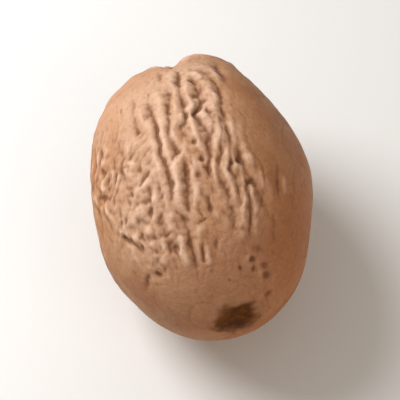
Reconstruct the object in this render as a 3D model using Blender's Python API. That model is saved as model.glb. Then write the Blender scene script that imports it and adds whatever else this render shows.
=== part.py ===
"""A whole nutmeg: the dried, shelled seed of the nutmeg tree, lying on its side.

The seed is an ovoid, longest along Y.  Its +Y end carries the root scar, a pale raised disc with a
pinhole, and its -Y end the chalaza, a small hollow.  Drying has shrunk the surface into furrows that
run from end to end, deepest on the upper side, and a broad channel leaves the root scar.

Places on the seed are given as on a globe whose poles are its two ends: longitude 0 is the line
along the top, +90 the +X flank and 180 the underside; latitude +90 is the root scar end.
"""

import math

import bpy
import numpy as np
from mathutils import Vector, noise

MM = 0.001

# Driving dimensions, in millimetres, and the counts of the surface's grid.
LENGTH = 27.6
WIDTH = 20.3
HEIGHT = 19.9
BLUNTNESS = 0.02  # share by which the root scar end is fuller, and the other end slimmer
REST_CUT = 0.24  # how much of the underside the resting spot takes off
REST_CALM = 4.5  # radius over which the relief dies away towards the resting spot
COLUMNS = 100
ROWS = 54
CROWDING = 0.58  # how much closer the columns stand along the furrowed top than the underside
THINNED = 64  # latitude beyond which only every second column goes on
THINNED_AGAIN = 80

# Swells and hollows of the whole form: longitude, latitude, radius and height in millimetres.
SWELLS = (
    (45, 57, 3.0, 0.40),
    (-62, 53, 3.2, 0.26),
    (-82, 32, 2.4, 0.14),
    (-92, 7, 2.8, -0.28),
    (-101, -13, 2.2, 0.16),
    (84, 1, 2.8, 0.20),
    (70, 31, 3.4, -0.20),
    (93, -22, 2.6, -0.18),
    (128, 30, 3.6, 0.22),
    (150, -38, 3.4, -0.20),
    (-142, 38, 3.4, -0.18),
    (-128, -36, 3.6, 0.20),
)
UNDULATION = 0.10  # height of the uneven swell that runs all over
UNDULATION_SIZE = 5.0

# The channel from the root scar, then the furrows: half-width and depth in millimetres, and the
# longitude and latitude of each point of the route.  Where furrows meet, only the deeper one counts.
MERGING = 4  # how sharply the deeper one wins
FURROW_END = 0.02  # share of a furrow's length at which its fading stops
CHANNEL = (1.30, 0.80, ((-9, 82), (-9, 66), (-8, 54), (-6, 43)))
TOP_FURROWS = (
    (0.42, 0.55, ((-1, 60), (1, 45), (2, 33), (1, 21), (0, 11), (2, 2), (0, -9), (-2, -17), (-4, -27))),
    (0.42, 0.55, ((-25, 20), (-22, 8), (-22, -1), (-20, -8), (-22, -18))),
    (0.40, 0.45, ((-12, 33), (-14, 23), (-16, 12), (-17, 2), (-20, -7))),
    (0.38, 0.45, ((-5, 44), (-6, 34), (-9, 26), (-10, 19))),
    (0.36, 0.40, ((-5, 20), (-6, 11), (-10, 9))),
    (0.40, 0.45, ((-12, -4), (-13, -12), (-14, -19), (-16, -26))),
    (0.45, 0.50, ((-20, -26), (-20, -36), (-22, -48))),
    (0.45, 0.45, ((23, 60), (22, 45), (19, 35), (14, 27), (14, 18), (12, 9), (12, -1))),
    (0.55, 0.50, ((12, -1), (16, -8), (20, -16), (26, -25), (33, -38))),
    (0.38, 0.35, ((8, -2), (11, -10), (13, -23))),
    (0.38, 0.35, ((18, -20), (18, -30), (20, -47))),
    (0.42, 0.28, ((-36, 32), (-35, 21), (-34, 11))),
    (0.42, 0.35, ((-62, -20), (-57, -26), (-45, -29))),
)
# Wider furrows spaced round the flanks and the underside, where the skin shrank less sharply.
SIDE_FURROWS = 11
SIDE_FIRST, SIDE_LAST = 62, 318
SIDE_WIDTH, SIDE_DEPTH = 0.80, 0.34
SIDE_REACH = 42  # latitude to which they run each way
SIDE_STAGGER = 4  # degrees by which one in three is nearer either end
SIDE_SWING = 5  # degrees that they wander to each side
SIDE_WAVE = 107  # degrees of latitude over which they wander to and fro
SIDE_SHIFT = 2.4  # radians by which each one's wandering is ahead of the one before

# The ends.
SCAR_RADIUS, SCAR_RISE, SCAR_EDGE = 2.3, 0.28, 0.3
PINHOLE_RADIUS, PINHOLE_DEPTH = 0.55, 0.30
CHALAZA_PLACE = (40, -80)
CHALAZA_RADIUS, CHALAZA_DEPTH = 1.9, 0.40

ROUTE_STEP = 0.15  # spacing of the points along a furrow's route
HALF = np.array([WIDTH, LENGTH, HEIGHT]) / 2


def place(longitude, latitude):
    """The point of the plain ovoid at a longitude and latitude."""
    longitude = np.radians(longitude)
    latitude = np.radians(latitude)
    ring = np.cos(latitude)
    unit = np.stack([np.sin(longitude) * ring, np.sin(latitude), np.cos(longitude) * ring], axis=-1)
    taper = 1 + BLUNTNESS * unit[..., 1:2]
    return unit * HALF * np.concatenate([taper, np.ones_like(taper), taper], axis=-1)


def outward(points):
    """Unit vectors that stand off the ovoid at these points."""
    slope = points / HALF**2
    return slope / np.linalg.norm(slope, axis=-1, keepdims=True)


def along(route):
    """Closely spaced points of a smooth curve through the route, and how far each is from 0 to 1."""
    ends = np.array(route, float)
    knots = np.vstack([2 * ends[0] - ends[1], ends, 2 * ends[-1] - ends[-2]])
    stretch = np.linalg.norm(np.diff(place(*ends.T), axis=0), axis=1)
    curve = []
    for i, length in enumerate(stretch):
        before, start, end, after = knots[i : i + 4]
        t = np.linspace(0, 1, max(2, int(length / ROUTE_STEP)), endpoint=False)[:, None]
        linear = (end - before) * t
        square = (2 * before - 5 * start + 4 * end - after) * t**2
        cube = (3 * start - before - 3 * end + after) * t**3
        curve.append(start + (linear + square + cube) / 2)
    curve = np.vstack([*curve, ends[-1:]])
    return place(*curve.T), np.linspace(0, 1, len(curve))


def furrow(points, width, depth, route):
    """How deep this furrow is at each point: a crease with rounded shoulders that fades at its ends."""
    line, share = along(route)
    gap = np.linalg.norm(points[:, None] - line, axis=2)
    nearest = gap.argmin(axis=1)
    fade = np.sqrt(np.sin(np.pi * np.clip(share[nearest], FURROW_END, 1 - FURROW_END)))
    return depth * fade * np.exp(-gap.min(axis=1) / width)


def side_furrows():
    """Routes of the furrows that run from end to end round the flanks and the underside."""
    for i, middle in enumerate(np.linspace(SIDE_FIRST, SIDE_LAST, SIDE_FURROWS)):
        latitudes = np.linspace(-SIDE_REACH, SIDE_REACH, 9) + SIDE_STAGGER * (i % 3 - 1)
        longitudes = middle + SIDE_SWING * np.sin(latitudes * 2 * math.pi / SIDE_WAVE + SIDE_SHIFT * i)
        yield SIDE_WIDTH, SIDE_DEPTH, np.stack([longitudes, latitudes], axis=1)


def relief(points):
    """How far the dried skin stands above the plain ovoid at each point."""
    height = np.zeros(len(points))
    for longitude, latitude, radius, rise in SWELLS:
        gap = np.linalg.norm(points - place(longitude, latitude), axis=1)
        height += rise * np.exp(-((gap / radius) ** 2))
    height += [UNDULATION * noise.noise(Vector(p) / UNDULATION_SIZE) for p in points]

    creases = [furrow(points, *spec) for spec in (*TOP_FURROWS, *side_furrows())]
    height -= np.sum(np.power(creases, MERGING), axis=0) ** (1 / MERGING)
    height -= furrow(points, *CHANNEL)

    from_scar = np.linalg.norm(points - place(0, 90), axis=1)
    height += SCAR_RISE / (1 + np.exp((from_scar - SCAR_RADIUS) / SCAR_EDGE))
    height -= PINHOLE_DEPTH * np.exp(-((from_scar / PINHOLE_RADIUS) ** 2))
    from_chalaza = np.linalg.norm(points - place(*CHALAZA_PLACE), axis=1)
    height -= CHALAZA_DEPTH * np.exp(-((from_chalaza / CHALAZA_RADIUS) ** 2))
    from_rest = np.linalg.norm(points - place(180, 0), axis=1)
    return height * (1 - np.exp(-((from_rest / REST_CALM) ** 4)))


def grid():
    """The plain ovoid's points, and its faces: rings of quads closed by a fan of triangles at each end."""
    points = [place(0, -90)[None]]
    faces = []
    below = [0]
    for latitude in np.linspace(-90, 90, ROWS + 1)[1:-1]:
        columns = COLUMNS // (1 + (abs(latitude) > THINNED) + 2 * (abs(latitude) > THINNED_AGAIN))
        turn = np.arange(columns) * 2 * math.pi / columns
        longitudes = np.degrees(turn - CROWDING * np.sin(turn))
        first = sum(map(len, points))
        points.append(place(longitudes, np.full(columns, latitude)))
        ring = list(range(first, first + columns))
        faces += strip(below, ring)
        below = ring
    points.append(place(0, 90)[None])
    faces += strip(below, [below[-1] + 1])
    return np.vstack(points), faces

def strip(low, high):
    """Faces between two rings of points, of which one may be an end or have half the other's columns."""
    if len(low) == 1:
        return [(low[0], high[i], high[i - 1]) for i in range(len(high))]
    if len(high) == 1:
        return [(low[i - 1], low[i], high[0]) for i in range(len(low))]
    faces = []
    for i in range(min(len(low), len(high))):
        if len(low) == len(high):
            faces.append((low[i - 1], low[i], high[i], high[i - 1]))
        elif len(low) > len(high):
            start, middle, end = low[2 * i - 2], low[2 * i - 1], low[2 * i]
            faces += [(start, middle, high[i - 1]), (middle, high[i], high[i - 1]), (middle, end, high[i])]
        else:
            start, middle, end = high[2 * i - 2], high[2 * i - 1], high[2 * i]
            faces += [(low[i - 1], middle, start), (low[i - 1], low[i], middle), (low[i], end, middle)]
    return faces

def seed_material():
    """Dried seed coat: warm tan brown, dull with a faint waxy sheen."""
    material = bpy.data.materials.new("seed_coat")
    material.use_nodes = True
    shader = material.node_tree.nodes["Principled BSDF"]
    shader.inputs["Base Color"].default_value = (0.41, 0.21, 0.11, 1)
    shader.inputs["Roughness"].default_value = 0.6
    shader.inputs["Metallic"].default_value = 0.0
    return material


def make_nutmeg():
    """The seed as one closed solid, resting on a small flat spot with its origin in the middle of it."""
    plain, faces = grid()
    skin = plain + outward(plain) * relief(plain)[:, None]
    skin[:, 2] -= skin[:, 2].min() + REST_CUT
    skin[:, 2] = np.maximum(skin[:, 2], 0)
    skin[:, :2] -= (skin[:, :2].min(axis=0) + skin[:, :2].max(axis=0)) / 2

    mesh = bpy.data.meshes.new("nutmeg")
    mesh.from_pydata((skin * MM).tolist(), [], faces)
    mesh.shade_smooth()
    mesh.materials.append(seed_material())
    nutmeg = bpy.data.objects.new("nutmeg", mesh)
    bpy.context.scene.collection.objects.link(nutmeg)


for leftover in list(bpy.data.objects):
    bpy.data.objects.remove(leftover)
make_nutmeg()
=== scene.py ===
"""Looks of the whole nutmeg: its furrowed seed coat, a pale table top, soft light and the camera.

Lengths on the seed are in millimetres.  Places on it are given as on a globe whose poles are its two
ends: longitude 0 is the line along the top, +90 the +X flank and 180 the underside; latitude +90 is
the root scar end at +Y, and -90 the chalaza end.
"""
import itertools
import math

import bpy
import numpy as np
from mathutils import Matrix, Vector, kdtree, noise


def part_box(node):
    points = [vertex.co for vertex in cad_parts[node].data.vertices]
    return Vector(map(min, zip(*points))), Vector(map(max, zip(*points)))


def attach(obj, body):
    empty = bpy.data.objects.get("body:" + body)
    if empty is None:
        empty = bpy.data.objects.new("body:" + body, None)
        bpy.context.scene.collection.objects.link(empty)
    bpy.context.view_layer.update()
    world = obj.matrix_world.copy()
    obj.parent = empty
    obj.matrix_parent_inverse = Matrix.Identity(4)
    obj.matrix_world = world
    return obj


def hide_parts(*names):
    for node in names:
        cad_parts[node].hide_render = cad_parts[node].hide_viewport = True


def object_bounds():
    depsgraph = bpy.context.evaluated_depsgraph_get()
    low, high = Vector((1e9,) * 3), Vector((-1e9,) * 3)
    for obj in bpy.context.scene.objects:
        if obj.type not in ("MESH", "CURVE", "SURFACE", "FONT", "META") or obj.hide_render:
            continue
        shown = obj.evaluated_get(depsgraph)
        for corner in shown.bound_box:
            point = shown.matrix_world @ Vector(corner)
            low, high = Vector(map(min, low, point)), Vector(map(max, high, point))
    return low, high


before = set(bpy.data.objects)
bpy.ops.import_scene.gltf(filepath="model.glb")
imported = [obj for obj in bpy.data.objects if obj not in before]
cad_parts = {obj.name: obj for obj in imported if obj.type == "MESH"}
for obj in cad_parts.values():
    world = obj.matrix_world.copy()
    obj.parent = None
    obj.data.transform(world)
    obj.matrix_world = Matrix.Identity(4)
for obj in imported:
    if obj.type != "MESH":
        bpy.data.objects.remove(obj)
cad_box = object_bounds()

# =============================================================================================
# THE NUTMEG.  One dried kernel of the nutmeg tree in its seed coat, shelled, whole and unpolished.
# It grew as a smooth ovoid, a little fuller at the root scar end, and shrank unevenly as it dried,
# so it has low swells and hollows.  It lies on a small flat spot, and its size is the frame's.
# =============================================================================================
MM = 0.001
REST_CUT = 0.24  # how much of the underside the resting spot takes off
REST_CALM = 4.5  # radius over which the relief dies away towards the resting spot
BLUNTNESS = 0.02  # share by which the root scar end is fuller, and the other end slimmer
DIVISIONS = 128  # quads along each edge of the six-sided grid that is blown up into the seed
CROWDING = 0.30  # how strongly the grid's points draw towards the furrowed side
FURROWED_SIDE = np.array([-0.1, -0.35, 0.93])
UNDULATION = 0.10  # height of the uneven swell that runs all over
UNDULATION_SIZE = 5.0
SWELLS = (  # longitude, latitude, radius and height
    (45, 57, 3.0, 0.40),
    (14, 61, 1.4, 0.20),
    (38, 62, 2.0, 0.36),
    (-40, 62, 2.2, 0.12),
    (-66, 50, 3.2, 0.34),
    (-82, 32, 2.4, 0.12),
    (-92, 7, 2.8, -0.26),
    (-104, -20, 3.0, 0.14),
    (84, 1, 2.8, 0.20),
    (70, 31, 3.4, -0.20),
    (93, -22, 2.6, -0.18),
    (128, 30, 3.6, 0.22),
    (150, -38, 3.4, -0.20),
    (-142, 38, 3.4, -0.18),
    (-128, -36, 3.6, 0.20),
)


def ovoid(unit):
    """Points of the plain ovoid in these unit directions."""
    taper = 1 + BLUNTNESS * unit[..., 1:2]
    return unit * half_size * np.concatenate([taper, np.ones_like(taper), taper], axis=-1)


def place(longitude, latitude):
    """The point of the plain ovoid at a longitude and latitude."""
    longitude = np.radians(longitude)
    latitude = np.radians(latitude)
    ring = np.cos(latitude)
    unit = np.stack([np.sin(longitude) * ring, np.sin(latitude), np.cos(longitude) * ring], axis=-1)
    return ovoid(unit)


def blown_up_box():
    """Unit directions of the points of a six-sided grid, and its faces, turned outwards."""
    steps = np.tan(np.linspace(-1, 1, DIVISIONS + 1) * math.pi / 4)
    across, up = (axis.reshape(-1, 1) for axis in np.meshgrid(steps, steps, indexing="ij"))
    corner = np.arange(across.size).reshape(DIVISIONS + 1, -1)
    quads = np.stack([corner[:-1, :-1], corner[1:, :-1], corner[1:, 1:], corner[:-1, 1:]], axis=-1)
    points = []
    faces = []
    for side, (axis, sign) in enumerate(itertools.product(range(3), (1, -1))):
        out = np.eye(3)[axis] * sign
        first = np.eye(3)[(axis + 1) % 3]
        points.append(out + across * first + up * np.cross(out, first))
        faces.append(quads.reshape(-1, 4) + side * across.size)
    points = np.round(np.concatenate(points), decimals=6)
    points, joined = np.unique(points, axis=0, return_inverse=True)
    unit = points / np.linalg.norm(points, axis=1, keepdims=True)
    unit += CROWDING * FURROWED_SIDE / np.linalg.norm(FURROWED_SIDE)
    unit /= np.linalg.norm(unit, axis=1, keepdims=True)
    return unit, joined.reshape(-1)[np.concatenate(faces)]


def unevenness(points, size, shift=0.0):
    """Smooth noise at each point, mostly within half a unit of 0.

    Its blotches have this size, or these sizes across, along and up.  Each kind of unevenness has
    its own shift, which picks its stretch of the noise.
    """
    return np.array([noise.noise(p) for p in (points / np.array(size) + shift).tolist()])


def away(points, longitude, latitude):
    """How far each point is from a place on the seed."""
    return np.linalg.norm(points - place(longitude, latitude), axis=1)


def mound(gap, radius):
    """1 in the middle, a third at the radius and next to nothing at twice the radius."""
    return np.exp(-((gap / radius) ** 2))


def patches(points, spots):
    """Soft round patches added up.  Each has a longitude, latitude, radius and strength."""
    total = np.zeros(len(points))
    for longitude, latitude, radius, strength in spots:
        total += strength * mound(away(points, longitude, latitude), radius)
    return total


low_corner, high_corner = (np.array(corner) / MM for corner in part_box("nutmeg"))
low_corner[2] -= REST_CUT
half_size = (high_corner - low_corner) / 2
unit, faces = blown_up_box()
plain = ovoid(unit)
latitudes = np.degrees(np.arcsin(unit[:, 1]))
longitudes = np.degrees(np.arctan2(unit[:, 0], unit[:, 2]))
kernel = UNDULATION * unevenness(plain, UNDULATION_SIZE) + patches(plain, SWELLS)

# ---------------------------------------------------------------------------------------------
# Its furrows.  Drying drew the skin into creases that run from end to end between puffy ridges,
# deepest along the top.  A broad channel, left by the seed's seam, leaves the root scar.  Each
# furrow is a route, with the longitude, latitude, half-width and depth at each of its points.
# ---------------------------------------------------------------------------------------------
CHANNEL = (
    (-3, 82, 1.20, 0.10),
    (-4, 73, 1.15, 0.80),
    (-5, 66, 1.05, 1.00),
    (-6, 58, 0.95, 0.80),
    (-6, 47, 0.90, 0.10),
)
FURROWS = (
    (
        (-33.8, 33, 0.50, 0.04), (-33.4, 27, 0.56, 0.16), (-33, 20, 0.56, 0.14), (-32, 14, 0.40, 0.18),
        (-31.8, 11, 0.30, 0.06),
    ),
    (
        (-25.5, 30, 0.50, 0.04), (-24, 26, 0.60, 0.12), (-23, 20, 0.60, 0.28), (-21.5, 16.5, 0.42, 0.22),
        (-21, 14, 0.36, 0.22), (-21.2, 9, 0.34, 0.26), (-20.4, 4, 0.30, 0.26), (-21.6, -1, 0.36, 0.30),
        (-20, -5, 0.36, 0.28), (-19.5, -9, 0.36, 0.34), (-19.9, -12, 0.37, 0.38), (-20.4, -16, 0.34, 0.26),
        (-21.5, -19.5, 0.34, 0.06),
    ),
    (
        (-10.8, 33, 0.42, 0.03), (-11, 29, 0.44, 0.16), (-11.4, 27, 0.46, 0.27), (-12.2, 23, 0.44, 0.26),
        (-13, 20, 0.46, 0.30), (-13.3, 17, 0.38, 0.22), (-13.4, 14, 0.32, 0.13), (-14.8, 9, 0.36, 0.16),
        (-15.3, 4, 0.30, 0.13), (-14.3, 1, 0.34, 0.18), (-13.0, -1.5, 0.38, 0.30),
        (-14.4, -3.6, 0.34, 0.22), (-16.4, -5.2, 0.30, 0.06), (-18, -6.4, 0.28, 0.02),
    ),
    (
        (-2.6, 44, 0.45, 0.04), (-2.6, 41.5, 0.45, 0.18), (-2.7, 38, 0.46, 0.32), (-3.7, 33, 0.46, 0.44),
        (-4, 30, 0.40, 0.30), (-5, 27, 0.42, 0.27), (-4.8, 23, 0.55, 0.26), (-4.5, 20, 0.60, 0.30),
        (-4.4, 16, 0.40, 0.26), (-3.6, 14, 0.32, 0.38), (-5, 11.5, 0.36, 0.26), (-6.8, 9.6, 0.50, 0.28),
        (-9.6, 9, 0.40, 0.06),
    ),
    (
        (4.8, 37, 0.40, 0.04), (5, 33, 0.42, 0.33), (5.3, 30, 0.52, 0.30), (5.6, 27, 0.62, 0.38),
        (5.6, 21, 0.62, 0.42), (4.6, 18, 0.50, 0.36), (2.8, 16, 0.38, 0.34), (0.2, 14, 0.28, 0.36),
        (2.4, 9, 0.46, 0.26), (3.4, 6, 0.54, 0.26), (4.6, 3.5, 0.64, 0.30), (3.1, -1, 0.40, 0.36),
        (3, -6, 0.36, 0.22), (1.8, -8.8, 0.34, 0.20), (0.6, -12, 0.40, 0.26), (-0.4, -16, 0.34, 0.15),
        (-0.6, -20, 0.45, 0.11), (-2, -23, 0.30, 0.15), (-2.4, -26, 0.28, 0.16), (-2.4, -28.5, 0.28, 0.03),
    ),
    (
        (6.8, 19, 0.30, 0.03), (7.2, 16.5, 0.34, 0.14), (7.2, 14, 0.34, 0.25), (8.4, 11.8, 0.32, 0.05),
        (10, 11, 0.32, 0.02),
    ),
    (
        (6, 43, 0.40, 0.02), (12.5, 39, 0.45, 0.06), (15.2, 35, 0.48, 0.06), (17.2, 30, 0.45, 0.15),
        (18, 27, 0.46, 0.19), (17.4, 23, 0.42, 0.19), (16.8, 20, 0.38, 0.18), (15.2, 14, 0.36, 0.16),
        (14.6, 9, 0.35, 0.18), (14.4, 4, 0.36, 0.20), (15, -1, 0.30, 0.10), (14, -6, 0.25, 0.10),
        (13.4, -9, 0.28, 0.17), (11.8, -12, 0.28, 0.17), (14.2, -16, 0.30, 0.11), (15.4, -20, 0.30, 0.11),
        (14.6, -24, 0.32, 0.06), (14, -27, 0.30, 0.02),
    ),
    (
        (17.6, -2, 0.40, 0.04), (18.2, -6, 0.46, 0.28), (20, -12, 0.35, 0.15), (22, -14.5, 0.38, 0.18),
        (23.9, -16.5, 0.48, 0.30), (26, -20, 0.55, 0.18), (28.8, -24, 0.55, 0.21), (31.4, -28, 0.42, 0.10),
        (33.5, -32, 0.40, 0.02),
    ),
    (
        (8.4, -1.5, 0.30, 0.04), (9, -6, 0.34, 0.19), (7.4, -9, 0.38, 0.14), (5.9, -12, 0.46, 0.13),
        (6, -16, 0.50, 0.13), (7.8, -20, 0.38, 0.16), (8.8, -24, 0.40, 0.03),
    ),
    (
        (19.8, -14.5, 0.26, 0.03), (20.1, -16.5, 0.27, 0.12), (19.9, -20, 0.27, 0.13),
        (20.4, -24, 0.26, 0.15), (20.2, -28, 0.30, 0.18), (20.3, -32, 0.28, 0.18), (20, -36, 0.32, 0.13),
        (19, -41, 0.30, 0.03),
    ),
    (
        (10.2, -25.5, 0.30, 0.03), (10.2, -28, 0.30, 0.13), (10, -32, 0.36, 0.15), (9.4, -36, 0.40, 0.07),
        (9, -39, 0.40, 0.02),
    ),
    (
        (-9.5, -4.5, 0.35, 0.04), (-10.3, -8, 0.40, 0.20), (-10.8, -12, 0.44, 0.36),
        (-11.5, -16, 0.43, 0.29), (-12.9, -20, 0.40, 0.27), (-14.2, -24, 0.37, 0.18),
        (-14.8, -27.5, 0.36, 0.04),
    ),
    ((-8.6, -21.5, 0.35, 0.03), (-8.2, -25, 0.37, 0.10), (-8, -27.5, 0.30, 0.10), (-7, -29, 0.28, 0.04)),
    ((-12.5, -31, 0.24, 0.03), (-9.5, -30, 0.26, 0.12), (-7, -29.4, 0.26, 0.10), (-5, -29.4, 0.24, 0.02)),
    (
        (-21.8, -21.5, 0.45, 0.04), (-20.5, -25, 0.45, 0.14), (-19, -28, 0.50, 0.28),
        (-18.9, -32, 0.60, 0.30), (-18.6, -36, 0.40, 0.30), (-20, -40, 0.40, 0.25), (-20, -44, 0.40, 0.20),
        (-22, -49, 0.50, 0.13), (-23.5, -54, 0.50, 0.02),
    ),
    (
        (-29.6, -21.5, 0.38, 0.02), (-30.3, -24, 0.40, 0.09), (-31.2, -28, 0.46, 0.12),
        (-31.8, -32, 0.46, 0.14), (-29.8, -36, 0.48, 0.15), (-30.2, -39.5, 0.40, 0.07),
        (-31, -42.5, 0.34, 0.02),
    ),
    (
        (-11.6, -38, 0.25, 0.04), (-11.8, -40, 0.26, 0.14), (-13.3, -44, 0.23, 0.24),
        (-14.2, -48, 0.25, 0.03),
    ),
    ((-1.8, -37, 0.30, 0.03), (-2.5, -40, 0.28, 0.14), (-3, -43.5, 0.28, 0.03)),
    ((-1.6, -2.5, 0.24, 0.03), (-1.5, -6, 0.26, 0.15), (-0.8, -9, 0.26, 0.04)),
    ((-16, 48, 0.40, 0.03), (-15.4, 43, 0.40, 0.14), (-15.2, 38, 0.40, 0.10), (-15.2, 34, 0.40, 0.03)),
    (
        (29, 50, 0.55, 0.05), (26.5, 43, 0.55, 0.22), (25.4, 38, 0.50, 0.20), (25.3, 33, 0.48, 0.09),
        (23, 28, 0.45, 0.03),
    ),
    ((36, -28, 0.50, 0.03), (36.8, -32, 0.50, 0.12), (37.5, -36, 0.50, 0.12), (38, -41, 0.50, 0.02)),
    ((40.4, -8, 0.48, 0.03), (39.8, -12, 0.48, 0.10), (39.4, -17, 0.50, 0.10), (39.2, -22, 0.50, 0.03)),
    ((21, -43, 0.42, 0.03), (26, -43.6, 0.42, 0.09), (32, -44, 0.42, 0.03)),
    ((-45.5, 19, 0.44, 0.02), (-44.8, 13, 0.44, 0.08), (-44, 9, 0.44, 0.08), (-42, 4, 0.44, 0.02)),
    (
        (-28.5, -4.5, 0.32, 0.02), (-30, -6, 0.34, 0.09), (-32.4, -7.2, 0.34, 0.12),
        (-35, -8.4, 0.34, 0.11), (-37.4, -9.7, 0.32, 0.02),
    ),
    (
        (-29.8, -8.5, 0.36, 0.03), (-31.6, -11.5, 0.48, 0.16), (-33.6, -15.5, 0.50, 0.13),
        (-35.6, -19.5, 0.44, 0.04),
    ),
    ((-28, -7.5, 0.30, 0.02), (-28.6, -10, 0.32, 0.09), (-29, -12.5, 0.32, 0.02)),
    ((-27, -12, 0.40, 0.02), (-27.6, -16, 0.46, 0.04), (-28, -19, 0.44, 0.04), (-28.6, -21.5, 0.40, 0.02)),
    (
        (-60.5, -20.5, 0.36, 0.03), (-58.6, -22.5, 0.40, 0.20), (-56.5, -24.5, 0.38, 0.21),
        (-53.8, -27.3, 0.38, 0.21), (-51, -29.6, 0.40, 0.15), (-48, -31, 0.36, 0.02),
    ),
    (
        (-69, -44, 0.38, 0.02), (-62, -41.7, 0.40, 0.15), (-56, -40.3, 0.34, 0.07),
        (-50.5, -42.8, 0.40, 0.15), (-46.5, -43, 0.38, 0.05), (-41, -43.2, 0.38, 0.07),
        (-35, -44, 0.38, 0.02),
    ),
    ((-61.8, 19, 0.40, 0.02), (-60, 15.5, 0.42, 0.12), (-57.8, 12.6, 0.42, 0.14), (-55, 10.5, 0.40, 0.02)),
    ((-62.5, 8.8, 0.38, 0.03), (-60, 7, 0.42, 0.14), (-57, 4.8, 0.42, 0.13), (-54.6, 3.6, 0.40, 0.02)),
    ((-67.5, -0.3, 0.40, 0.03), (-64.8, -2, 0.44, 0.14), (-62, -3.6, 0.44, 0.14), (-59.4, -5, 0.40, 0.03)),
    ((-55, 2, 0.34, 0.02), (-56, -0.5, 0.36, 0.11), (-57.2, -3, 0.34, 0.02)),
    ((-70.4, 24, 0.38, 0.03), (-69.2, 19, 0.40, 0.16), (-68.2, 13, 0.40, 0.15), (-68, 9, 0.38, 0.02)),
    ((-45.4, -9, 0.38, 0.02), (-46, -12, 0.42, 0.14), (-46.8, -16.5, 0.40, 0.02)),
)
CREASE_SHARE = 0.24  # how much of a furrow's depth is its sharp crease; the rest is its trough
CREASE_WIDTH = 0.15
MERGING = 4  # how sharply the deeper of two furrows that meet wins
DEEPENING = 1.18  # scales the depths of all furrows but the channel
FURROW_UNEVENNESS = 0.35  # share by which a furrow is deeper here and shallower there
FURROW_UNEVENNESS_SIZE = 1.3
ROUTE_STEP = 0.1  # spacing of the points along a route
REACH = 4.0  # how far from a furrow or ridge the skin still takes notice of it
LOOSENESS = ((1.2, 0.12, 7), (0.45, 0.08, 8))  # size, reach and noise shift of a route's small bends
AXIS_SHIFTS = (0.0, 31.7, 63.1)  # what the bends along X, Y and Z add to that shift

# Wider furrows spaced round the flanks and the underside, where the skin shrank less sharply.
SIDE_FURROWS = 11
SIDE_FIRST = 62
SIDE_LAST = 318
SIDE_FAINT = 80  # longitude below which they are too faint to show
SIDE_FULL = 110  # longitude from which they have their whole depth
SIDE_WIDTH = 0.80
SIDE_DEPTH = 0.34
SIDE_REACH = 42  # latitude to which they run each way
SIDE_STAGGER = 4  # degrees by which one in three is nearer either end
SIDE_SWING = 5  # degrees that they wander to each side
SIDE_WAVE = 107  # degrees of latitude over which they wander to and fro
SIDE_SHIFT = 2.4  # radians by which each one's wandering is ahead of the one before
SIDE_POINTS = 9
FADE_END = 0.02  # share of a furrow's or ridge's length at which its fading stops


def along(route):
    """Closely spaced places of a smooth curve through the route, and the values that go with them."""
    ends = np.array(route, float)
    knots = np.vstack([2 * ends[0] - ends[1], ends, 2 * ends[-1] - ends[-2]])
    stretch = np.linalg.norm(np.diff(place(*ends.T[:2]), axis=0), axis=1)
    curve = []
    for i, length in enumerate(stretch):
        before, start, end, after = knots[i : i + 4]
        t = np.linspace(0, 1, max(2, int(length / ROUTE_STEP)), endpoint=False)[:, None]
        linear_part = (end - before) * t
        square_part = (2 * before - 5 * start + 4 * end - after) * t**2
        cube_part = (3 * start - before - 3 * end + after) * t**3
        curve.append(start + (linear_part + square_part + cube_part) / 2)
    return np.vstack([*curve, ends[-1:]])


def beside(points, curve):
    """How far each point is from the curve, and which of the curve's places is the nearest."""
    line = place(*curve.T[:2])
    tree = kdtree.KDTree(len(line))
    for i, point in enumerate(line):
        tree.insert(point, i)
    tree.balance()
    middle = line.mean(axis=0)
    span = np.linalg.norm(line - middle, axis=1).max()
    close = np.linalg.norm(points - middle, axis=1) < span + REACH
    nearest = np.zeros(len(points), int)
    nearest[close] = [tree.find(p)[1] for p in points[close].tolist()]
    heading = np.gradient(line, axis=0)
    heading /= np.linalg.norm(heading, axis=1, keepdims=True)
    step = points - line[nearest]
    lengthwise = (step * heading[nearest]).sum(axis=1)
    inner = (nearest > 0) & (nearest < len(line) - 1)
    sideways = step - heading[nearest] * (lengthwise * inner)[:, None]
    return np.where(close, np.linalg.norm(sideways, axis=1), 2 * REACH), nearest


def creased(values, breadth):
    """1 where the values are 0, falling off sharply to either side over this breadth."""
    return np.exp(-np.abs(values) / breadth)


def furrow(points, route):
    """How deep this furrow is at each point: a sharp crease in a rounded trough."""
    curve = along(route)
    gap, nearest = beside(points, curve)
    half_width = curve[nearest, 2]
    depth = np.clip(curve[nearest, 3], 0, None)
    crease = CREASE_SHARE * creased(gap, CREASE_WIDTH)
    trough = (1 - CREASE_SHARE) * mound(gap, half_width)
    return depth * (crease + trough)


def ramp(values, start, full):
    """0 up to the start and 1 from the full value on, which may be the smaller of the two."""
    return np.clip((values - start) / (full - start), 0, 1)


def fading(share):
    """How much is left of a furrow or ridge at this share of its length, both ends of which fade."""
    return np.sqrt(np.sin(math.pi * np.clip(share, FADE_END, 1 - FADE_END)))


def side_furrows():
    """Routes of the furrows that run from end to end round the flanks and the underside."""
    fade = fading(np.linspace(FADE_END, 1 - FADE_END, SIDE_POINTS))
    widths = np.full(SIDE_POINTS, SIDE_WIDTH)
    for i, middle in enumerate(np.linspace(SIDE_FIRST, SIDE_LAST, SIDE_FURROWS)):
        lats = np.linspace(-SIDE_REACH, SIDE_REACH, SIDE_POINTS) + SIDE_STAGGER * (i % 3 - 1)
        longs = middle + SIDE_SWING * np.sin(lats * 2 * math.pi / SIDE_WAVE + SIDE_SHIFT * i)
        depths = SIDE_DEPTH * ramp(min(middle, 360 - middle), SIDE_FAINT, SIDE_FULL) * fade
        yield np.stack([longs, lats, widths, depths], axis=1)


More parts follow.
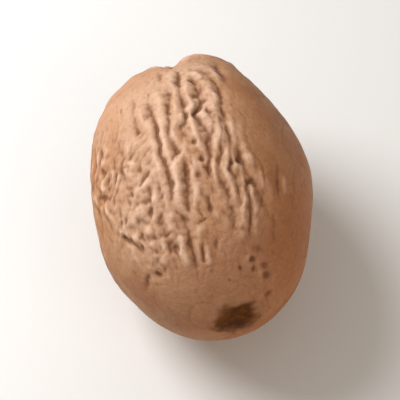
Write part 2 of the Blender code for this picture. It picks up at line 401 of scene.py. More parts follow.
def wandering(points, bends):
    """The points, moved by smooth noise so that what is drawn through them bends this way and that."""
    for size, reach, shift in bends:
        moves = [unevenness(points, size, shift + apart) for apart in AXIS_SHIFTS]
        points = points + reach * np.stack(moves, axis=1)
    return points


loose = wandering(plain, LOOSENESS)
furrows = [furrow(loose, route) for route in (*FURROWS, *side_furrows())]
furrows = np.sum(np.power(furrows, MERGING), axis=0) ** (1 / MERGING)
furrows *= 1 + FURROW_UNEVENNESS * unevenness(plain, FURROW_UNEVENNESS_SIZE, shift=90)
furrows *= DEEPENING
channel = furrow(plain, CHANNEL)

# ---------------------------------------------------------------------------------------------
# Its ridges and pits.  Between the furrows the skin stands up in narrow, soft-backed ridges, like
# cords under cloth, and where furrows meet or end it is drawn down into small pits.
# ---------------------------------------------------------------------------------------------
RIDGES = (  # half-width, rise and route
    (0.48, 0.20, ((6.8, 39.5), (8, 36.4), (9, 33))),
    (0.50, 0.13, ((11, 32), (11.3, 26), (11.5, 20), (11.3, 13))),
    (0.34, 0.13, ((4.6, 16.5), (4.6, 10))),
    (0.46, 0.12, ((8.8, 8), (8.8, 3), (7.4, -2))),
    (0.45, 0.10, ((-18, 30), (-18, 21), (-17.5, 13))),
    (0.34, 0.12, ((-12.7, 9.5), (-12.3, 2.5))),
    (0.30, 0.10, ((-17.8, 8), (-17.5, 0))),
    (0.30, 0.11, ((-2.8, 11), (-2, 5), (-1, 0), (-0.3, -5))),
    (0.50, 0.20, ((-9, 0), (-11, -3), (-14.4, -6), (-15.4, -9), (-15.4, -12), (-16.5, -16), (-18.4, -21))),
    (0.36, 0.16, ((-6.6, -6), (-7.2, -12), (-7.6, -16), (-8.2, -20), (-10.2, -26))),
    (0.34, 0.08, ((3.4, -8), (4, -14))),
    (0.42, 0.18, ((11.4, -4), (10.2, -9), (9.6, -12), (10.9, -16), (12, -20), (12.4, -25))),
    (0.52, 0.17, ((17.6, -18.5), (17.8, -24), (16.2, -28), (15.4, -32), (14.8, -36), (14.6, -42))),
    (0.40, 0.09, ((23, -27), (23.4, -38))),
    (0.42, 0.10, ((-24.6, -3.5), (-24.2, -9))),
    (0.28, 0.09, ((22.2, -19), (22.6, -25))),
    (0.44, 0.10, ((17.2, 10), (17.4, 2))),
    (0.50, 0.05, ((22.3, 7.5), (23, 1.5))),
    (0.70, 0.14, ((22.4, -1), (22.8, -6), (23, -11))),
    (0.75, 0.10, ((28, -12), (28, -21))),
    (0.65, 0.16, ((7, 46), (13, 43.5), (18, 39), (20, 31))),
    (0.46, 0.20, ((-22.6, -33), (-24.2, -36.5), (-25.6, -40), (-26.4, -46))),
    (0.34, 0.14, ((-9, -39), (-11, -44), (-12.6, -49))),
    (0.60, 0.10, ((-10.7, -31), (-13.5, -36))),
    (0.36, 0.18, ((-29.8, -7.3), (-33, -9.6), (-36, -12))),
    (0.36, 0.12, ((-29, -12.5), (-31, -18))),
    (0.40, 0.14, ((-24.8, -21.5), (-25.6, -25), (-26.8, -30.5))),
    (0.48, 0.15, ((-47, -35.2), (-37.5, -38.5))),
    (0.38, 0.15, ((-46.5, -31.6), (-39.5, -31.2))),
    (0.52, 0.14, ((-44, -25.3), (-37.5, -26.2))),
    (0.36, 0.10, ((-41.8, -1.8), (-41, 1), (-38, 1), (-36.7, -1.5))),
    (0.65, 0.11, ((-50.5, -2.5), (-48.5, -8.5))),
    (0.65, 0.10, ((-43.3, -13.5), (-41.7, -19.5))),
    (0.42, 0.12, ((-55, 15.5), (-53.5, 10.5))),
    (0.42, 0.14, ((-60.3, 4), (-60.7, -1.5))),
    (0.42, 0.13, ((-63.5, -5), (-61.5, -10.5))),
    (0.50, 0.10, ((-52, 7), (-52, 1.5))),
    (0.42, 0.12, ((-54, -23), (-50, -28))),
    (0.44, 0.10, ((43, -13), (43, -20))),
    (0.30, 0.08, ((18.6, -46), (19.2, -50))),
    (0.24, 0.08, ((14.6, -5.5), (14.8, -8.5))),
)
RIDGE_SHARE = 0.9  # scales the rise of all ridges
RIDGE_UNEVENNESS = 0.5  # share by which a ridge is higher here and lower there
RIDGE_UNEVENNESS_SIZE = 0.8
PITS = (  # longitude, latitude, radius and depth
    (2.9, 24, 0.40, 0.16),
    (3.8, 33, 0.32, 0.10),
    (-3.4, 0.6, 0.32, 0.20),
    (17.7, -8, 0.36, 0.24),
    (21.6, -17, 0.32, 0.20),
    (-0.3, -10, 0.28, 0.12),
    (-1.2, -7, 0.28, 0.16),
    (-5.5, -12.6, 0.28, 0.10),
    (13.5, -9.3, 0.26, 0.12),
    (-32.2, 13, 0.40, 0.06),
    (-39, -1.7, 0.36, 0.10),
    (-31.3, -30, 0.42, 0.12),
    (-30.8, -37, 0.40, 0.12),
    (-32.4, -26, 0.34, 0.12),
    (-35.8, -19.7, 0.34, 0.14),
    (-49.8, -43, 0.36, 0.14),
    (-40.3, -35, 0.32, 0.10),
    (-47.3, -27.7, 0.42, 0.14),
    (-22.5, -27.6, 0.50, 0.12),
    (22.2, -48, 0.30, 0.20),
    (12.5, -51.6, 0.24, 0.10),
    (24, -52, 0.28, 0.12),
    (34.6, -50.2, 0.40, 0.18),
    (39, -53.8, 0.44, 0.24),
    (51, -62, 0.36, 0.18),
)
DENTS = (  # shallow sunken places on the furrowed side
    (-7.5, 5, 0.9, 0.12),
    (-4.5, -13, 0.7, 0.10),
    (1, -25, 1.8, 0.10),
)


def ridge(points, half_width, rise, route):
    """How high this ridge stands at each point, with a rounded back that fades at its ends."""
    curve = along(route)
    gap, nearest = beside(points, curve)
    return rise * fading(nearest / (len(curve) - 1)) * mound(gap, half_width)


ridges = np.sum([ridge(loose, *spec) for spec in RIDGES], axis=0)
ridges *= RIDGE_SHARE + RIDGE_UNEVENNESS * unevenness(plain, RIDGE_UNEVENNESS_SIZE, shift=61)
pits = patches(loose, PITS) + patches(plain, DENTS)

# ---------------------------------------------------------------------------------------------
# Its wrinkles.  The rest of the skin puckered as it dried: fine and pebbly on the -X shoulder, in
# long folds over the underside and the root scar end, and hardly at all on the smooth flanks.
# ---------------------------------------------------------------------------------------------
PEBBLED = (  # longitude, latitude, radius and strength
    (-42, -10, 4.2, 1.0),
    (-33, -30, 3.6, 1.0),
    (-68, 10, 4.6, 0.8),
    (-28, -4, 2.5, 0.6),
)
PEBBLED_EDGE = -23  # longitude up to which the pebbles go
PEBBLED_EDGE_SOFTNESS = 2.0
PEBBLED_SLANT = 0.12  # degrees by which that edge draws back for each degree of latitude
PEBBLED_SLANT_FROM = -12  # latitude below which it does
TOPSIDE = (0, 26, 3, 44)  # longitude and half-width, latitude and half-length
SMOOTH = (
    (52, 18, 7.5, 1.0),
    (56, -20, 7.0, 1.0),
    (10, -62, 8.0, 1.0),
    (-45, 34, 5.0, 1.0),
    (-45, -60, 5.0, 1.0),
)
FOLDED_SIDE = np.array([0.10, 0.49, -0.87])  # the underside, and more so at the root scar end
FOLDED_FROM = -0.1225  # how far the skin faces that way where the folds begin, and where they are full
FOLDED_FULL = 0.2275
ROUND_SCAR = ((0, 90, 4.2, 0.65),)  # where the scar's own spokes take over from the folds
PIMPLES_IN_FOLDS = 0.3
PUCKER_BREADTH = 0.19
PUCKERS_UNBROKEN = 0.5  # the less, the more the creases break off
PUCKERS_BREAKING = 1.8  # how suddenly they do
PUCKERS_BREAK_SIZE = 2  # how many times as large as the creases' own bends they are
PUCKERS_BREAK_SHIFT = 50
WINDING = ((3.2, 1.1, 31),)  # the bends of each kind of wrinkle, as in LOOSENESS
FOLDING = ((1.1, 0.25, 91),)
CURLING = ((3.0, 0.8, 43), (1.0, 0.30, 44))
STREAMING = ((1.6, 0.3, 81),)
DOTTING = ((0.8, 0.2, 71),)
LEAN = math.radians(30)  # how far the pebbles' long axes lean from the seed's


def within(values, edge, softness):
    """1 well below the edge, a half at it and 0 well above it."""
    return 1 / (1 + np.exp((values - edge) / softness))


def plateau(longitude, half_width, latitude, half_length):
    """1 over a patch of the skin, and nearly 0 beyond one and a half times its reach."""
    crosswise = (longitudes - longitude) / half_width
    lengthwise = (latitudes - latitude) / half_length
    return np.exp(-(crosswise**4)) * np.exp(-(lengthwise**4))


def puckers(points, size, shift):
    """1 along broken, wandering creases and less on the mounds between them."""
    whole = creased(unevenness(points, size, shift), PUCKER_BREADTH)
    breaks = unevenness(points, PUCKERS_BREAK_SIZE * np.array(size), shift + PUCKERS_BREAK_SHIFT)
    return whole * np.clip(PUCKERS_UNBROKEN + PUCKERS_BREAKING * breaks, 0, 1)


over_edge = longitudes - PEBBLED_EDGE
over_edge += PEBBLED_SLANT * np.clip(PEBBLED_SLANT_FROM - latitudes, 0, None)
pebbled = np.clip(patches(plain, PEBBLED), 0, 1) * within(over_edge, 0, PEBBLED_EDGE_SOFTNESS)
topside = plateau(*TOPSIDE)
smooth = np.clip(patches(plain, SMOOTH), 0, 1)
turned_under = ramp(unit @ FOLDED_SIDE, FOLDED_FROM, FOLDED_FULL)
folded = np.clip(1 - topside - pebbled - smooth, 0, 1) * turned_under
pimpled = np.clip(topside + pebbled + PIMPLES_IN_FOLDS * folded, 0, 1)
folds = folded * (1 - patches(plain, ROUND_SCAR))

winding = wandering(plain, WINDING)
folding = wandering(winding, FOLDING)
curling = wandering(plain, CURLING)
leaning = curling @ np.array(
    [[math.cos(LEAN), math.sin(LEAN), 0], [-math.sin(LEAN), math.cos(LEAN), 0], [0, 0, 1]]
)
BUMPS = (  # the points they are drawn through, size across, along and up, noise shift, height, where
    (leaning, (0.75, 1.5, 0.75), 6, 0.17, pebbled),
    (leaning, (0.42, 0.8, 0.42), 8, 0.06, pebbled),
    (wandering(plain, STREAMING), (0.42, 1.7, 0.42), 82, 0.06, topside),
    (wandering(plain, DOTTING), (0.55, 0.55, 0.55), 72, 0.04, pimpled),
    (plain, (1.1, 1.1, 1.1), 75, 0.03, 1.0),
    (folding, (1.0, 3.0, 1.0), 92, 0.34, folds),
    (folding, (0.5, 1.4, 0.5), 93, 0.14, folds),
)
CREASES = (  # the same, with the depth in each kind of place
    (winding, (1.9, 6.5, 1.9), 3, 0.02 * topside + 0.14 * folded + 0.04 * smooth),
    (winding, (0.9, 3.1, 0.9), 17, 0.04 * topside + 0.05 * folded + 0.03 * smooth),
    (curling, (1.5, 1.9, 1.5), 5, 0.05 * pebbled),
)
bumps = sum(height * unevenness(by, size, shift) * where for by, size, shift, height, where in BUMPS)
creases = sum(puckers(by, size, shift) * depth for by, size, shift, depth in CREASES)

# ---------------------------------------------------------------------------------------------
# Its two ends.  The root scar is a pale corky disc, a little raised, with a pinhole where the root
# would have come out and spokes of skin drawn in round it.  The chalaza, where the seed was fed, is
# a small dark hollow.
# ---------------------------------------------------------------------------------------------
SCAR_RADIUS = 2.3
SCAR_RISE = 0.28
SCAR_EDGE = 0.3
SCAR_RAGGEDNESS = ((0.50, 0.9, 120), (0.25, 0.4, 121))  # strength, size and noise shift
PINHOLE_RADIUS = 0.45
PINHOLE_DEPTH = 0.45
RIM_RADIUS = 0.85
RIM_WIDTH = 0.28
RIM_RISE = 0.10
SPOKE_DEPTH = 0.22
SPOKE_BREADTH = 0.16
SPOKE_CROWDING = 3.2  # the more, the closer they stand
SPOKE_CHANGE = 0.25  # how soon they come and go on the way out from the scar
SPOKES_MIDDLE = 3.4  # how far from the scar's middle they are deepest, and how far they reach
SPOKES_WIDTH = 1.9
CHALAZA = (40, -80)
CHALAZA_RADIUS = 1.9
CHALAZA_DEPTH = 0.40
CHALAZA_CREASE_DEPTH = 0.07
CHALAZA_CREASE_SIZE = 0.7
CHALAZA_CREASE_BREADTH = 0.15


def raggedness(layers):
    """Unevenness of several sizes added up.  Each has a strength, a size and a noise shift."""
    return sum(strength * unevenness(plain, size, shift) for strength, size, shift in layers)


from_scar = away(plain, 0, 90)
scar = within(from_scar + raggedness(SCAR_RAGGEDNESS), SCAR_RADIUS, SCAR_EDGE)
pinhole = mound(from_scar, PINHOLE_RADIUS)
rim = mound(from_scar - RIM_RADIUS, RIM_WIDTH)
turn = np.arctan2(plain[:, 0], plain[:, 2])
wheel = [SPOKE_CROWDING * np.cos(turn), SPOKE_CROWDING * np.sin(turn), SPOKE_CHANGE * from_scar]
spokes = creased(unevenness(np.stack(wheel, axis=1), 1.0, shift=130), SPOKE_BREADTH)
spokes *= mound(from_scar - SPOKES_MIDDLE, SPOKES_WIDTH)
chalaza = mound(away(plain, *CHALAZA), CHALAZA_RADIUS)
chalaza_creases = unevenness(plain, CHALAZA_CREASE_SIZE, shift=140)
chalaza_creases = chalaza * creased(chalaza_creases, CHALAZA_CREASE_BREADTH)
ends = SCAR_RISE * scar + RIM_RISE * rim - PINHOLE_DEPTH * pinhole - SPOKE_DEPTH * spokes
ends -= CHALAZA_DEPTH * chalaza + CHALAZA_CREASE_DEPTH * chalaza_creases

# ---------------------------------------------------------------------------------------------
# Its skin.  Everything above moves the plain ovoid's points in or out, and the whole is then set
# to the frame's box and cut flat where it rests.
# ---------------------------------------------------------------------------------------------
relief = kernel + ridges + bumps + ends - furrows - channel - pits - creases
relief *= 1 - np.exp(-((away(plain, 180, 0) / REST_CALM) ** 4))
outward = plain / half_size**2
outward /= np.linalg.norm(outward, axis=1, keepdims=True)
skin = plain + outward * relief[:, None]
skin -= skin.min(axis=0)
skin *= (high_corner - low_corner) / skin.max(axis=0)
skin += low_corner
skin[:, 2] = np.maximum(skin[:, 2], 0)

mesh = bpy.data.meshes.new("nutmeg_seed")
mesh.from_pydata((skin * MM).tolist(), [], faces.tolist())
mesh.shade_smooth()
seed = bpy.data.objects.new("nutmeg_seed", mesh)
bpy.context.scene.collection.objects.link(seed)

# ---------------------------------------------------------------------------------------------
# Its bloom, wear, stains and painted light and shade.  A pale dusty bloom lies on the upper side,
# with painted highlight where the light falls; the crests are painted lighter, for wear and as painted
# highlight, less so on the underside; the furrows are painted darker, for dust and tannin and as
# painted shade; the bottom, the underside and some patches get painted shade, warm and blotchy in
# places; and the chalaza is nearly black.  Each is kept on the mesh as a value from 0 to 1, for the
# material.
# ---------------------------------------------------------------------------------------------
WIDE_ROUNDS = 60  # rounds of averaging from which the furrows and ridges stand out
NARROW_ROUNDS = 10  # the same for the finest creases
SOFTENING_ROUNDS = 2
# The furrows' darkening is dust and tannin with painted shade.
HOLLOW_DUST_AND_SHADE = (-0.015, -0.145)  # height of the skin at which each begins to show, and fully shows
# The crests' paleness is wear with painted highlight.
CREST_WEAR_AND_HIGHLIGHT = (0.02, 0.12)
# The finest creases' darkening is dust with painted shade.
CREVICE_DUST_AND_SHADE = (0.0, -0.05)
# The finest crests' paleness is wear with painted highlight.
RUBBED_AND_HIGHLIT = (0.01, 0.06)
CREST_HIGHLIGHT_LOST_BELOW = 0.6  # share of the crests' paleness, wear and painted highlight, that the underside lacks
# The bloom is dust, with painted highlight where the light falls on the upper side.
BLOOMED_AND_LIT = (-28, 46, 6, 47)  # as TOPSIDE
BLOOM_AND_HIGHLIGHT_SHARE = 0.9  # scales all of the bloom and its painted highlight
BLOOM_AND_HIGHLIGHT_UNEVENNESS = 0.5  # share by which it is thicker here and thinner there
BLOOM_AND_HIGHLIGHT_UNEVENNESS_SIZE = 2.5
BLOOM_AND_HIGHLIGHT_SPOTS = (  # longitude, latitude, radius, and how much more or less bloom and painted highlight there is
    (15, -27, 3.0, 0.50),
    (-35, -12, 4.0, 0.25),
    (9, 1, 2.8, 0.35),
    (-4, 22, 3.0, 0.30),
    (15, 46, 2.6, 0.60),
    (-12, 38, 2.6, 0.30),
    (0, -58, 4.6, 0.26),
    (-38, -62, 4.6, 0.22),
    (48, 0, 6.0, 0.18),
    (-66, 3, 4.4, -0.55),
    (0, -24, 3.4, -0.45),
    (-7.5, 5, 1.3, -0.45),
    (-5, -8, 1.9, -0.40),
    (-7, 0, 1.6, -0.30),
)
# Painted shade: darker towards the bottom, on the underside and in patches where shade falls.
SHADE_LATITUDE = -46  # latitude below which the seed gets painted shade
SHADE_SOFTNESS = 9
SHADE_BELOW = 0.4  # how much painted shade the underside gets
SHADED_SPOTS = (
    (-72, -38, 6.0, 0.80),
    (55, -15, 10.0, 0.40),
    (-64, 3, 4.0, 0.45),
    (50, 34, 7.0, 0.70),
)
# Painted warm shade: a patch low on the +X flank, and blotches within the painted shade.
WARM_SHADE_SPOTS = ((46, -42, 7.0, 1.0),)
WARM_SHADE_BLOTCHES = 0.9  # how strong the warm blotches within the painted shade are
WARM_SHADE_BLOTCH_SIZE = 2.6
WARM_SHADE_BLOTCH = (0.0, 0.2)  # noise at which one begins to show, and fully shows
STAIN = (24, -80)
STAIN_RADIUS = 2.1
STAIN_EDGE = 0.24
STAIN_RAGGEDNESS = ((0.8, 1.6, 150), (0.5, 0.6, 151))  # as SCAR_RAGGEDNESS


def averaged(values, rounds):
    """The values, each averaged with its neighbours' over this many rounds."""
    for _ in range(rounds):
        summed = np.bincount(edges[:, 0], values[edges[:, 1]], len(values))
        summed += np.bincount(edges[:, 1], values[edges[:, 0]], len(values))
        values = (values + summed) / (neighbours + 1)
    return values


def paint(name, values):
    """Keeps a value from 0 to 1 for each of the mesh's points, for its material."""
    layer = mesh.attributes.new(name, "FLOAT", "POINT")
    layer.data.foreach_set("value", np.clip(values, 0, 1).astype(np.float32))


edges = np.array([edge.vertices[:] for edge in mesh.edges])
neighbours = np.bincount(edges.reshape(-1), minlength=len(plain))
stands = averaged(relief - averaged(relief, WIDE_ROUNDS), SOFTENING_ROUNDS)
finer = relief - averaged(relief, NARROW_ROUNDS)
# painted shade, with dust and tannin, in the hollows
paint("hollow_dust_and_shade", ramp(stands, *HOLLOW_DUST_AND_SHADE))
# wear and painted highlight on the crests, less on the underside
paint("crest_wear_and_highlight", ramp(stands, *CREST_WEAR_AND_HIGHLIGHT) * (1 - CREST_HIGHLIGHT_LOST_BELOW * turned_under))
# painted shade, with dust, in the finest creases
paint("crevice_dust_and_shade", ramp(finer, *CREVICE_DUST_AND_SHADE))
# wear and painted highlight on the finest crests
paint("rubbed_and_highlit", ramp(finer, *RUBBED_AND_HIGHLIT))
paint("cork", scar * (1 - pinhole))
paint("pinhole", pinhole)
from_stain = away(plain, *STAIN) + raggedness(STAIN_RAGGEDNESS)
paint("stain", within(from_stain, STAIN_RADIUS, STAIN_EDGE))
# the dust bloom, with painted highlight where the light falls
bloom_and_highlight = plateau(*BLOOMED_AND_LIT) + patches(plain, BLOOM_AND_HIGHLIGHT_SPOTS)
thickness = BLOOM_AND_HIGHLIGHT_SHARE + BLOOM_AND_HIGHLIGHT_UNEVENNESS * unevenness(plain, BLOOM_AND_HIGHLIGHT_UNEVENNESS_SIZE, shift=160)
paint("bloom_and_highlight", bloom_and_highlight * np.clip(thickness, 0, 1))
# painted shade low down, on the underside and in patches
painted_shade = within(latitudes, SHADE_LATITUDE, SHADE_SOFTNESS) + patches(plain, SHADED_SPOTS)
painted_shade = np.clip(painted_shade + SHADE_BELOW * turned_under, 0, 1)
paint("painted_shade", painted_shade)
# painted warm shade, blotchy
blotches = ramp(unevenness(plain, WARM_SHADE_BLOTCH_SIZE, shift=170), *WARM_SHADE_BLOTCH)
paint("warm_shade", patches(plain, WARM_SHADE_SPOTS) + WARM_SHADE_BLOTCHES * painted_shade * blotches)

# ---------------------------------------------------------------------------------------------
# Its finish.  Dried seed coat, a thin woody skin, air-dried and left as it came out of the shell.
# To the eye it is warm tan brown and dull, with a faint waxy sheen on the smooth flanks; a pale
# dusty bloom and rubbed crests lie over it, both with painted highlight, the hollows hold dust and
# painted shade, painted shade lies low down and on the underside, and short dark vessels run from
# end to end in it.
# ---------------------------------------------------------------------------------------------
TAN = "#a97046"
PALE_TAN = "#b37e53"
TAN_PATCH_SIZE = 5.0
TAN_PATCHES = {"From Min": 0.38, "From Max": 0.62}
MOTTLE_SIZE = 1.1
SPECK_SIZE = 0.30  # the real specks are 0.1 mm across, too fine to show
PATTERNS = {  # size, how many times longer than wide, and the noise where it begins and fully shows
    "streaks": (0.8, 5, 0.50, 0.72),
    "mottling": (MOTTLE_SIZE, 1, 0.50, 0.75),
    "dark_specks": (SPECK_SIZE, 1, 0.52, 0.70),
    "pale_specks": (SPECK_SIZE, 1, 0.46, 0.32),
}
VESSEL_SPACING = 0.9  # the real ones stand 0.3 mm apart, too close to show
VESSEL_STRETCH = 5
VESSEL_WIDTH = {"From Min": 0.24, "From Max": 0.08}
VESSEL_CLUSTERS = {"From Min": 0.45, "From Max": 0.60}
LAYERS = (  # from the skin up: the pattern or kept value it follows, how much it covers, its colour
    ("streaks", 0.35, "#96592b"),
    ("mottling", 0.30, "#bd834e"),
    # painted shade: darker low down, on the underside and in patches
    ("painted_shade", 0.55, "#9f714c"),
    # painted warm shade, blotchy
    ("warm_shade", 0.60, "#93552f"),
    # dust bloom, with painted highlight on the upper side
    ("bloom_and_highlight", 0.80, "#caa387"),
    # dust and tannin, with painted shade, in the hollows
    ("hollow_dust_and_shade", 0.56, "#885a3c"),
    # wear and painted highlight on the crests
    ("crest_wear_and_highlight", 0.66, "#e4bfa6"),
    # dust, with painted shade, in the finest creases
    ("crevice_dust_and_shade", 0.72, "#633a22"),
    # wear and painted highlight on the finest crests
    ("rubbed_and_highlit", 0.32, "#e0bda2"),
    ("dark_specks", 0.32, "#8a5c3a"),
    ("pale_specks", 0.10, "#d9b493"),
    ("vessels", 0.50, "#774a2c"),
    ("cork", 0.80, "#cda67c"),
    ("pinhole", 0.90, "#3a1f12"),
)
STAIN_DARK = "#3c1b00"
STAIN_BROWN = "#5c3106"
STAIN_MOTTLING = {"From Min": 0.40, "From Max": 0.65}
STAIN_COVER = 0.92
GRAIN = ((0.42, 0.05), (0.16, 0.02))  # size and height of the skin's finest bumps
SEED_COAT_IOR = 1.47
SHEEN = {"From Min": 0.30, "From Max": 0.70, "To Min": 0.46, "To Max": 0.62}  # roughness
SPECULAR = {"To Min": 0.16, "To Max": 0.04}  # of the clean skin, and of the stain


def linear(code):
    """A hex sRGB colour as a shader's linear one."""
    channels = [int(code[i : i + 2], 16) / 255 for i in (1, 3, 5)]
    return (*(c / 12.92 if c <= 0.04045 else ((c + 0.055) / 1.055) ** 2.4 for c in channels), 1.0)


def add(tree, kind, settings, links, output=0):
    """Adds a node, with its settings, and each input linked to a socket or set to a value."""
    node = tree.nodes.new("ShaderNode" + kind)
    for name, value in settings.items():
        setattr(node, name, value)
    for name, value in links.items():
        if isinstance(value, bpy.types.NodeSocket):
            tree.links.new(value, node.inputs[name])
        else:
            node.inputs[name].default_value = value
    return node.outputs[output] if node.outputs else node


coat = bpy.data.materials.new("dried_seed_coat")
coat.use_nodes = True
tree = coat.node_tree
tree.nodes.clear()
MULTIPLY = {"operation": "MULTIPLY"}
SOFT_STEP = {"interpolation_type": "SMOOTHSTEP"}
COLOURS = {"data_type": "RGBA"}
SHARE, UNDER, OVER = 0, 6, 7  # the sockets that a Mix node takes colours at, and gives one at
MIXED = 2
DETAILED = {"Detail": 3.0}
MOTTLED = {"Detail": 3.0, "Roughness": 0.6}
spot = add(tree, "TexCoord", {}, {}, "Object")
even = add(tree, "VectorMath", MULTIPLY, {0: spot, 1: (1 / MM, 1 / MM, 1 / MM)})
mottle = add(tree, "TexNoise", {}, {"Vector": even, "Scale": 1 / MOTTLE_SIZE, **MOTTLED})

tan_patches = add(tree, "TexNoise", {}, {"Vector": even, "Scale": 1 / TAN_PATCH_SIZE, **DETAILED})
share = add(tree, "MapRange", SOFT_STEP, {"Value": tan_patches, **TAN_PATCHES})
colour = add(tree, "Mix", COLOURS, {SHARE: share, UNDER: linear(TAN), OVER: linear(PALE_TAN)}, MIXED)

followed = {}
for pattern, (size, stretch, start, full) in PATTERNS.items():
    stretched = add(tree, "VectorMath", MULTIPLY, {0: even, 1: (1, 1 / stretch, 1)})
    cloud = add(tree, "TexNoise", {}, {"Vector": stretched, "Scale": 1 / size, **MOTTLED})
    shows = {"Value": cloud, "From Min": start, "From Max": full}
    followed[pattern] = add(tree, "MapRange", SOFT_STEP, shows)
stretched = add(tree, "VectorMath", MULTIPLY, {0: even, 1: (1, 1 / VESSEL_STRETCH, 1)})
cells = {"Vector": stretched, "Scale": 1 / VESSEL_SPACING}
from_middle = add(tree, "TexVoronoi", {}, cells, "Distance")
inside = add(tree, "MapRange", SOFT_STEP, {"Value": from_middle, **VESSEL_WIDTH})
clustered = add(tree, "MapRange", SOFT_STEP, {"Value": mottle, **VESSEL_CLUSTERS})
followed["vessels"] = add(tree, "Math", MULTIPLY, {0: inside, 1: clustered})

for name, cover, tint in LAYERS:
    if name not in followed:
        followed[name] = add(tree, "Attribute", {"attribute_name": name}, {}, "Fac")
    share = add(tree, "Math", MULTIPLY, {0: followed[name], 1: cover})
    colour = add(tree, "Mix", COLOURS, {SHARE: share, UNDER: colour, OVER: linear(tint)}, MIXED)

share = add(tree, "MapRange", SOFT_STEP, {"Value": mottle, **STAIN_MOTTLING})
darks = {SHARE: share, UNDER: linear(STAIN_DARK), OVER: linear(STAIN_BROWN)}
dark = add(tree, "Mix", COLOURS, darks, MIXED)
stain = add(tree, "Attribute", {"attribute_name": "stain"}, {}, "Fac")
share = add(tree, "Math", MULTIPLY, {0: stain, 1: STAIN_COVER})
colour = add(tree, "Mix", COLOURS, {SHARE: share, UNDER: colour, OVER: dark}, MIXED)

surface = {}
for size, height in GRAIN:
    cloud = add(tree, "TexNoise", {}, {"Vector": even, "Scale": 1 / size, **DETAILED})
    bump = add(tree, "Bump", {}, {"Distance": height * MM, "Height": cloud, **surface})
    surface = {"Normal": bump}
surface["Base Color"] = colour
surface["Roughness"] = add(tree, "MapRange", SOFT_STEP, {"Value": mottle, **SHEEN})
surface["Specular IOR Level"] = add(tree, "MapRange", SOFT_STEP, {"Value": stain, **SPECULAR})
surface["IOR"] = SEED_COAT_IOR
shader = add(tree, "BsdfPrincipled", {}, surface)
add(tree, "OutputMaterial", {}, {"Surface": shader})
mesh.materials.append(coat)
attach(seed, "root")
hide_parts("nutmeg")

# =============================================================================================
# THE TABLE TOP.  A plain pale laminate board, pressed against a fine satin plate.  To the eye it
# is even, nearly white and dull; its texture is finer than shows, so it is drawn a little coarser.
# =============================================================================================
TABLE_HALF = 2.0  # metres
LAMINATE_WHITE = "#eaeaea"
LAMINATE_SHADE = "#e6e6e5"
LAMINATE_CLOUD = 40.0  # millimetres, as are the texture's sizes
LAMINATE_TEXTURE = 0.6
LAMINATE_TEXTURE_HEIGHT = 0.01
LAMINATE_ROUGHNESS = 0.5

table_corners = [(-TABLE_HALF, -TABLE_HALF, 0), (TABLE_HALF, -TABLE_HALF, 0)]
table_corners += [(TABLE_HALF, TABLE_HALF, 0), (-TABLE_HALF, TABLE_HALF, 0)]
table_mesh = bpy.data.meshes.new("table_top")
table_mesh.from_pydata(table_corners, [], [(0, 1, 2, 3)])
table_top = bpy.data.objects.new("table_top", table_mesh)
bpy.context.scene.collection.objects.link(table_top)

laminate = bpy.data.materials.new("satin_white_laminate")
laminate.use_nodes = True
tree = laminate.node_tree
tree.nodes.clear()
spot = add(tree, "TexCoord", {}, {}, "Object")
even = add(tree, "VectorMath", MULTIPLY, {0: spot, 1: (1 / MM, 1 / MM, 1 / MM)})
cloud = add(tree, "TexNoise", {}, {"Vector": even, "Scale": 1 / LAMINATE_CLOUD})
whites = {SHARE: cloud, UNDER: linear(LAMINATE_WHITE), OVER: linear(LAMINATE_SHADE)}
colour = add(tree, "Mix", COLOURS, whites, MIXED)
texture = add(tree, "TexNoise", {}, {"Vector": even, "Scale": 1 / LAMINATE_TEXTURE})
bump = add(tree, "Bump", {}, {"Distance": LAMINATE_TEXTURE_HEIGHT * MM, "Height": texture})
surface = {"Base Color": colour, "Roughness": LAMINATE_ROUGHNESS, "Normal": bump}
shader = add(tree, "BsdfPrincipled", {}, surface)
add(tree, "OutputMaterial", {}, {"Surface": shader})
table_mesh.materials.append(laminate)

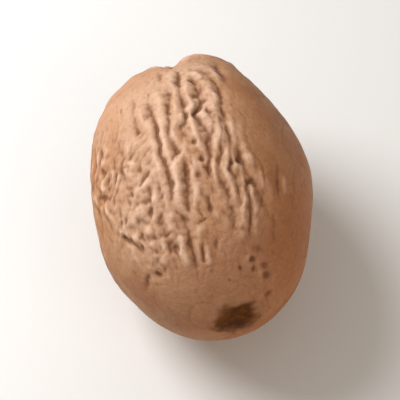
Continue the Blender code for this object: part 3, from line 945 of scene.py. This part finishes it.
# =============================================================================================
# THE CAMERA AND THE LIGHT.  The camera looks down on the upper side from the chalaza end.  A soft
# box stands behind to the left, a weaker and warmer one in front to the right, in a pale room.
# =============================================================================================
AZIMUTH = math.radians(-11.1)
ELEVATION = math.radians(60)
LENS = 180  # millimetres
SENSOR = 36  # its width in millimetres
VIEW_WIDTH = 0.0364  # metres across the view at the seed
AIM_LEFT = 0.0002  # metres by which the camera stands to the left of and below the seed's middle
AIM_DOWN = 0.0004
ROOM_COLOUR = "#fffaf2"
ROOM_STRENGTH = 0.34
SOFT_BOXES = (  # name, share right, up and towards the camera, diameter, distance, power, colour
    ("key", (-0.64, 0.64, 0.42), 0.11, 0.16, 0.300, "#ffffff"),
    ("fill", (0.68, -0.36, 0.64), 0.16, 0.18, 0.100, "#ffe6cc"),
)

level = math.cos(ELEVATION)
back = Vector((math.sin(AZIMUTH) * level, -math.cos(AZIMUTH) * level, math.sin(ELEVATION)))
right = Vector((math.cos(AZIMUTH), math.sin(AZIMUTH), 0))
up = back.cross(right)
middle = (Vector(cad_box[0]) + Vector(cad_box[1])) / 2

camera_data = bpy.data.cameras.new("camera")
camera_data.lens = LENS
camera = bpy.data.objects.new("camera", camera_data)
camera.location = middle - right * AIM_LEFT - up * AIM_DOWN + back * (VIEW_WIDTH * LENS / SENSOR)
camera.rotation_euler = back.to_track_quat("Z", "Y").to_euler()
bpy.context.scene.collection.objects.link(camera)
bpy.context.scene.camera = camera

for name, (along_right, along_up, along_back), diameter, distance, power, tint in SOFT_BOXES:
    toward = (along_right * right + along_up * up + along_back * back).normalized()
    box_data = bpy.data.lights.new(name, "AREA")
    box_data.shape = "DISK"
    box_data.size = diameter
    box_data.energy = power
    box_data.color = linear(tint)[:3]
    soft_box = bpy.data.objects.new(name, box_data)
    soft_box.location = middle + toward * distance
    soft_box.rotation_euler = toward.to_track_quat("Z", "Y").to_euler()
    bpy.context.scene.collection.objects.link(soft_box)

room = bpy.data.worlds.new("pale_room")
room.use_nodes = True
room.node_tree.nodes["Background"].inputs["Color"].default_value = linear(ROOM_COLOUR)
room.node_tree.nodes["Background"].inputs["Strength"].default_value = ROOM_STRENGTH
bpy.context.scene.world = room
bpy.context.scene.view_settings.view_transform = "Standard"
